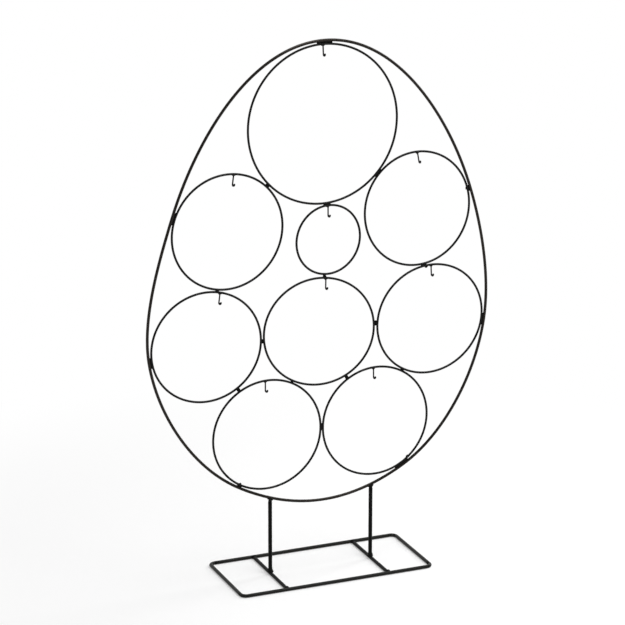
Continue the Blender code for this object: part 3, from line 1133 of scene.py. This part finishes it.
@dataclass
class Stand:
    """The flat base loop, its two crossbars, and the uprights that carry the hoop."""

    shop: Workshop
    base_rod: float = 5.0 * MM
    upright_rod: float = 5.6 * MM
    corner_radius: float = 8.5 * MM
    corner_steps: int = 10
    rail_steps: int = 8
    bar_steps: int = 12
    upright_steps: int = 10
    neck_steps: int = 6
    joint_steps: int = 8
    rod_sides: int = 24
    neck_diameter: float = 3.6 * MM
    neck_length: float = 6.0 * MM
    joint_grain: float = 0.3 * MM
    joint_reach: float = 11.0 * MM
    # The bead round a crossbar's end: its radius, its distance from the rail, its balls. It
    # runs over the bar but not under it, so it has a first angle, a last one and a count.
    bar_bead: float = 2.4 * MM
    bar_bead_inset: float = 2.8 * MM
    bar_ball: float = 1.9 * MM
    bar_arch: tuple[float, float, int] = (-5.0, 185.0, 10)
    # The bead round an upright's foot and under its head
    foot_bead: float = 2.9 * MM
    foot_ball: float = 1.9 * MM
    foot_rise: float = 2.9 * MM
    foot_thinning: tuple[float, ...] = (1.0, 0.86, 0.72)
    foot_collar: tuple[float, float, int] = (0.0, 330.0, 12)
    head_bead: float = 2.9 * MM
    head_ball: float = 1.8 * MM
    head_collar: tuple[float, float, int] = (0.0, 300.0, 6)
    search_rounds: int = 40
    loop_seed: int = 5
    bar_seed: int = 111
    upright_seed: int = 121
    seed_step: int = 10

    def build(self) -> None:
        """Build the loop, the crossbars and the uprights."""
        self._loop()
        for index, side in enumerate(("left", "right")):
            self._crossbar(side, self.bar_seed + index)
            self._upright(side, self.upright_seed + index)

    def _rail(self) -> tuple[float, float, float]:
        """Measure the base loop, to the middle of its rod.

        Returns:
            Half its length, half its depth, and its height over the floor.
        """
        low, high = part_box("base_loop")
        flat = self.base_rod / 2 * math.cos(math.pi / CAD_ROD_SIDES)
        return high.x - flat, high.y - flat, self.base_rod / 2 + COAT_THICKNESS

    def _loop(self) -> None:
        """Sweep the base loop with its four round corners."""
        half_x, half_y, height = self._rail()
        radius = self.corner_radius
        corners: list[Line] = []
        for turn, (side_x, side_y) in enumerate(((1, 1), (-1, 1), (-1, -1), (1, -1))):
            centre = Vector((side_x * (half_x - radius), side_y * (half_y - radius), height))
            start, end = 90 * turn, 90 * (turn + 1)
            spokes = (X_AXIS * radius, Y_AXIS * radius)
            corners.append(ring_of(centre, *spokes, start, end, self.corner_steps))
        line: Line = []
        for here, there in zip(corners, corners[1:] + corners[:1]):
            line.extend(here)
            line.extend(straight(here[-1], there[0], self.rail_steps)[1:-1])
        self.shop.wires["base_loop"] = Wire(line, self.base_rod / 2)
        mesh = self.shop.sweep(
            line, self.base_rod, Coat.BASE, closed=True, sides=self.rod_sides, seed=self.loop_seed
        )
        self.shop.finish("base_loop_rod", mesh, Coat.BASE, "base_loop")

    def _bar_middle(self, side: str) -> Vector:
        """Give the middle of the left or right crossbar."""
        low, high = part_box("crossbar_" + side)
        return Vector(((low.x + high.x) / 2, 0.0, self._rail()[2]))

    def _crossbar(self, side: str, seed: int) -> None:
        """Build one crossbar with a fillet weld at each rail.

        Args:
            side: Which crossbar, left or right.
            seed: Start of its random values.
        """
        node = "crossbar_" + side
        rail = self._rail()[1]
        middle = self._bar_middle(side)
        # The bar ends inside the rail's rod
        end = Y_AXIS * (rail - self.base_rod / 3)
        line = straight(middle - end, middle + end, self.bar_steps)
        radius = self.base_rod / 2
        # The crossbars take the uprights' darker, duller coat, without the base loop's painted
        # sheen
        coat = Coat.UPRIGHT
        meshes = [self.shop.sweep(line, self.base_rod, coat, sides=self.rod_sides, seed=seed)]
        span = X_AXIS * self.joint_reach
        arc = (X_AXIS * self.bar_bead, Z_AXIS * self.bar_bead, *self.bar_arch)
        for index, sense in enumerate((-1.0, 1.0)):
            joint = middle + Y_AXIS * sense * rail
            inward = -Y_AXIS * sense
            lengths = [
                (straight(joint - span, joint + span, self.joint_steps), radius),
                (straight(joint, joint + inward * self.joint_reach, self.joint_steps), radius),
            ]
            arch = ring_of(joint + inward * self.bar_bead_inset, *arc)
            balls = [(place, self.bar_ball) for place in arch]
            joint_seed = seed + self.seed_step * index
            meshes.append(self.shop.weld(lengths, balls, coat, joint_seed, grain=self.joint_grain))
        self.shop.finish(node + "_rod", joined(meshes), Coat.BASE, node)

    def _upright(self, side: str, seed: int) -> None:
        """Build one upright: a foot weld on the crossbar and a necked, welded head.

        Args:
            side: Which upright, left or right.
            seed: Start of its random values.
        """
        seat = self._bar_middle(side)
        hit = self._hoop_over(seat.x)
        # The rod starts inside the crossbar and ends inside the hoop
        head = hit.point - Z_AXIS * hit.wire.radius / 2
        neck = head - Z_AXIS * self.neck_length
        line = straight(seat + Z_AXIS * self.base_rod / 4, neck, self.upright_steps)
        shares = [1.0] * len(line)
        neck_share = self.neck_diameter / self.upright_rod
        for place in straight(neck, head, self.neck_steps)[1:]:
            rise = (place.z - neck.z) / self.neck_length
            line.append(place)
            shares.append(1.0 + (neck_share - 1.0) * rise * rise * (3 - 2 * rise))
        rod = self.shop.sweep(
            line, self.upright_rod, Coat.UPRIGHT, shares=shares, sides=self.rod_sides, seed=seed
        )
        foot_weld = self._foot_weld(seat, seed + 2 * self.seed_step)
        head_weld = self._head_weld(hit, seed + 3 * self.seed_step)
        node = "upright_" + side
        mesh = joined([rod, foot_weld, head_weld])
        self.shop.finish(node + "_rod", mesh, Coat.UPRIGHT, node)

    def _foot_weld(self, seat: Vector, seed: int) -> Mesh:
        """Lay the weld round an upright's foot.

        Args:
            seat: The middle of the crossbar under the foot.
            seed: Start of its random values.

        Returns:
            The weld's mesh.
        """
        span = Y_AXIS * self.joint_reach
        top = seat + Z_AXIS * (self.base_rod + self.joint_reach)
        lengths = [
            (straight(seat - span, seat + span, self.joint_steps), self.base_rod / 2),
            (straight(seat, top, self.joint_steps), self.upright_rod / 2),
        ]
        # The weld climbs the upright in rounds that get thinner, so that it ends as a cone
        balls: list[tuple[Vector, float]] = []
        for level, thin in enumerate(self.foot_thinning):
            reach = self.foot_bead * thin
            centre = seat + Z_AXIS * (self.base_rod / 2 + self.foot_rise * level)
            collar = ring_of(centre, X_AXIS * reach, Y_AXIS * reach, *self.foot_collar)
            balls.extend((place, self.foot_ball * thin**2) for place in collar)
        return self.shop.weld(lengths, balls, Coat.UPRIGHT, seed, grain=self.joint_grain)

    def _head_weld(self, hit: Hit, seed: int) -> Mesh:
        """Lay the weld that holds an upright's head under the hoop.

        Args:
            hit: Where the hoop passes over the head.
            seed: Start of its random values.

        Returns:
            The weld's mesh.
        """
        low = hit.point - Z_AXIS * self.joint_reach
        lengths = [
            (hit.wire.length_about(hit.point, self.joint_reach), hit.wire.radius),
            (straight(hit.point, low, self.joint_steps), self.neck_diameter / 2),
        ]
        under = hit.point - Z_AXIS * hit.wire.radius
        spokes = (hit.heading * self.head_bead, Y_AXIS * self.head_bead)
        collar = ring_of(under, *spokes, *self.head_collar)
        balls = [(place, self.head_ball) for place in collar]
        return self.shop.weld(lengths, balls, Coat.UPRIGHT, seed)

    def _hoop_over(self, x: float) -> Hit:
        """Find the lower side of the hoop over a place on the stand.

        Args:
            x: The place, along the rack's width.

        Returns:
            Where the hoop's middle passes over it.
        """
        hoop = self.shop.wires["egg_hoop"]
        place = Vector((x, 0.0, 0.0))
        for _ in range(self.search_rounds):
            place.z = hoop.nearest(place).point.z
        return hoop.nearest(place)


# Studio


@dataclass(frozen=True)
class Lamp:
    """One soft lamp: where it hangs, the size of its face, and its power in watts."""

    name: str
    place: Place
    size: tuple[float, float]
    power: float


@dataclass
class Studio:
    """White sweep, soft lamps, and the camera at the photograph's angle."""

    camera_place: Place = (-1.6121, -3.7907, 1.7127)
    camera_target: Place = (-0.0134, 0.0, 0.3981)
    focal_mm: float = 172.14
    camera_roll: float = 0.07
    sensor_mm: float = 36.0
    aim: Place = (0.0, 0.0, 0.35)
    floor_half: float = 6.0
    # The floor shows the rack's shadow near it, and plain white from here on
    shadow_reach: tuple[float, float] = (0.35, 0.90)
    paper: str = "#cccccc"
    glow: float = 0.36
    surroundings: str = "#909090"
    # The backdrop's edge in reflections: the Y part of a ray's direction, from grey to white
    backdrop_edge: tuple[float, float] = (-0.2, 0.4)
    lamps: tuple[Lamp, ...] = (
        Lamp("overhead", (0.3, -0.2, 2.6), (1.3, 1.0), 36.0),
        Lamp("right_side", (2.3, 0.4, 1.5), (0.9, 1.6), 30.0),
        Lamp("front_right", (1.1, -1.9, 2.4), (1.2, 1.2), 22.0),
    )

    def build(self) -> None:
        """Set up the camera, lamps, floor and world."""
        self._camera()
        for lamp in self.lamps:
            self._hang(lamp)
        self._floor()
        self._world()
        bpy.context.scene.view_settings.view_transform = "Standard"

    def _camera(self) -> None:
        """Place the camera."""
        data = bpy.data.cameras.new("photo_camera")
        data.lens = self.focal_mm
        data.sensor_width = self.sensor_mm
        data.clip_start = 0.1
        data.clip_end = 50.0
        camera = in_scene("photo_camera", data)
        self._aim(camera, self.camera_place, self.camera_target, self.camera_roll)
        bpy.context.scene.camera = camera

    def _hang(self, lamp: Lamp) -> None:
        """Hang one soft lamp, aimed at the middle of the rack.

        Args:
            lamp: How it hangs and shines.
        """
        data = bpy.data.lights.new(lamp.name, "AREA")
        data.shape = "RECTANGLE"
        data.size, data.size_y = lamp.size
        data.energy = lamp.power
        self._aim(in_scene(lamp.name, data), lamp.place, self.aim)

    def _aim(
        self,
        made: Object,
        place: Place,
        target: Place,
        roll: float = 0.0,
    ) -> None:
        """Stand a camera or a lamp at a place and aim it.

        Args:
            made: The camera or lamp.
            place: Where it stands.
            target: Where it points.
            roll: Its turn about the line of sight, in degrees.
        """
        made.location = place
        ahead = (Vector(target) - Vector(place)).to_track_quat("-Z", "Y")
        made.rotation_euler = (ahead @ Quaternion(Z_AXIS, math.radians(roll))).to_euler()

    def _fade(self, tree: NodeTree, value: NodeSocket, span: tuple[float, float]) -> Node:
        """Rise smoothly from 0 to 1 while a value crosses a span."""
        ramp = {"Value": value, "From Min": span[0], "From Max": span[1]}
        return add_node(tree, "ShaderNodeMapRange", ramp, interpolation_type="SMOOTHSTEP")

    def _shows_backdrop(self, tree: NodeTree, behind: Node | float = 1.0) -> Node:
        """Give 1 to the rays that see the white backdrop: from the camera, or by a gloss.

        Args:
            tree: The tree that gets the nodes.
            behind: How far a reflected ray goes to the backdrop's side, from 0 to 1.

        Returns:
            A node whose output is 1 where white shows.
        """
        rays = add_node(tree, "ShaderNodeLightPath").outputs
        bounced = {0: rays["Is Glossy Ray"], 1: rays["Is Transmission Ray"]}
        gloss = add_node(tree, "ShaderNodeMath", bounced, operation="MAXIMUM")
        reflected = add_node(tree, "ShaderNodeMath", {0: gloss, 1: behind}, operation="MULTIPLY")
        seen = {0: rays["Is Camera Ray"], 1: reflected}
        return add_node(tree, "ShaderNodeMath", seen, operation="MAXIMUM")

    def _floor(self) -> None:
        """Lay the pale floor, which shows white but keeps the rack's shadow."""
        half = self.floor_half
        mesh = bpy.data.meshes.new("floor")
        corners = [(-half, -half, 0.0), (half, -half, 0.0), (half, half, 0.0), (-half, half, 0.0)]
        mesh.from_pydata(corners, [], [(0, 1, 2, 3)])
        floor = in_scene("floor", mesh)
        material = bpy.data.materials.new("white_paper_sweep")
        material.use_nodes = True
        tree = material.node_tree
        tree.nodes.clear()
        white = linear("#ffffff")
        paper = add_node(tree, "ShaderNodeBsdfDiffuse", {"Color": linear(self.paper)})
        glow = add_node(tree, "ShaderNodeEmission", {"Color": white, "Strength": self.glow})
        near = add_node(tree, "ShaderNodeAddShader", {0: paper, 1: glow})
        far = add_node(tree, "ShaderNodeEmission", {"Color": white, "Strength": 1.0})
        place = add_node(tree, "ShaderNodeTexCoord").outputs["Object"]
        reach = add_node(tree, "ShaderNodeVectorMath", {0: place}, operation="LENGTH")
        faded = self._fade(tree, reach.outputs["Value"], self.shadow_reach)
        shown = add_node(tree, "ShaderNodeMixShader", {0: faded, 1: near, 2: far})
        sides = {0: self._shows_backdrop(tree), 1: paper, 2: shown}
        mixed = add_node(tree, "ShaderNodeMixShader", sides)
        add_node(tree, "ShaderNodeOutputMaterial", {"Surface": mixed})
        mesh.materials.append(material)

    def _world(self) -> None:
        """Fill the surroundings: white where they are seen, pale grey as light.

        The backdrop stands behind the rack, so a reflection from the room on the viewer's
        side stays as grey as the room is.
        """
        world = bpy.data.worlds.new("studio")
        bpy.context.scene.world = world
        world.use_nodes = True
        tree = world.node_tree
        tree.nodes.clear()
        way = add_node(tree, "ShaderNodeTexCoord").outputs["Generated"]
        depth = add_node(tree, "ShaderNodeSeparateXYZ", {0: way})
        behind = self._fade(tree, depth.outputs["Y"], self.backdrop_edge)
        shades = {
            0: self._shows_backdrop(tree, behind),
            6: linear(self.surroundings),
            7: linear("#ffffff"),
        }
        level = add_node(tree, "ShaderNodeMix", shades, data_type="RGBA")
        back = add_node(tree, "ShaderNodeBackground", {"Color": level.outputs[2]})
        add_node(tree, "ShaderNodeOutputWorld", {"Surface": back})


def main() -> None:
    """Build the rack's looks and the studio."""
    logging.basicConfig(level=logging.INFO, format="%(name)s: %(message)s")
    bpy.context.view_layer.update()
    shop = Workshop()
    Hoop(shop).build()
    Rings(shop).build()
    Hooks(shop).build()
    Welds(shop).build()
    Stand(shop).build()
    Studio().build()


if __name__ == "__main__":
    main()
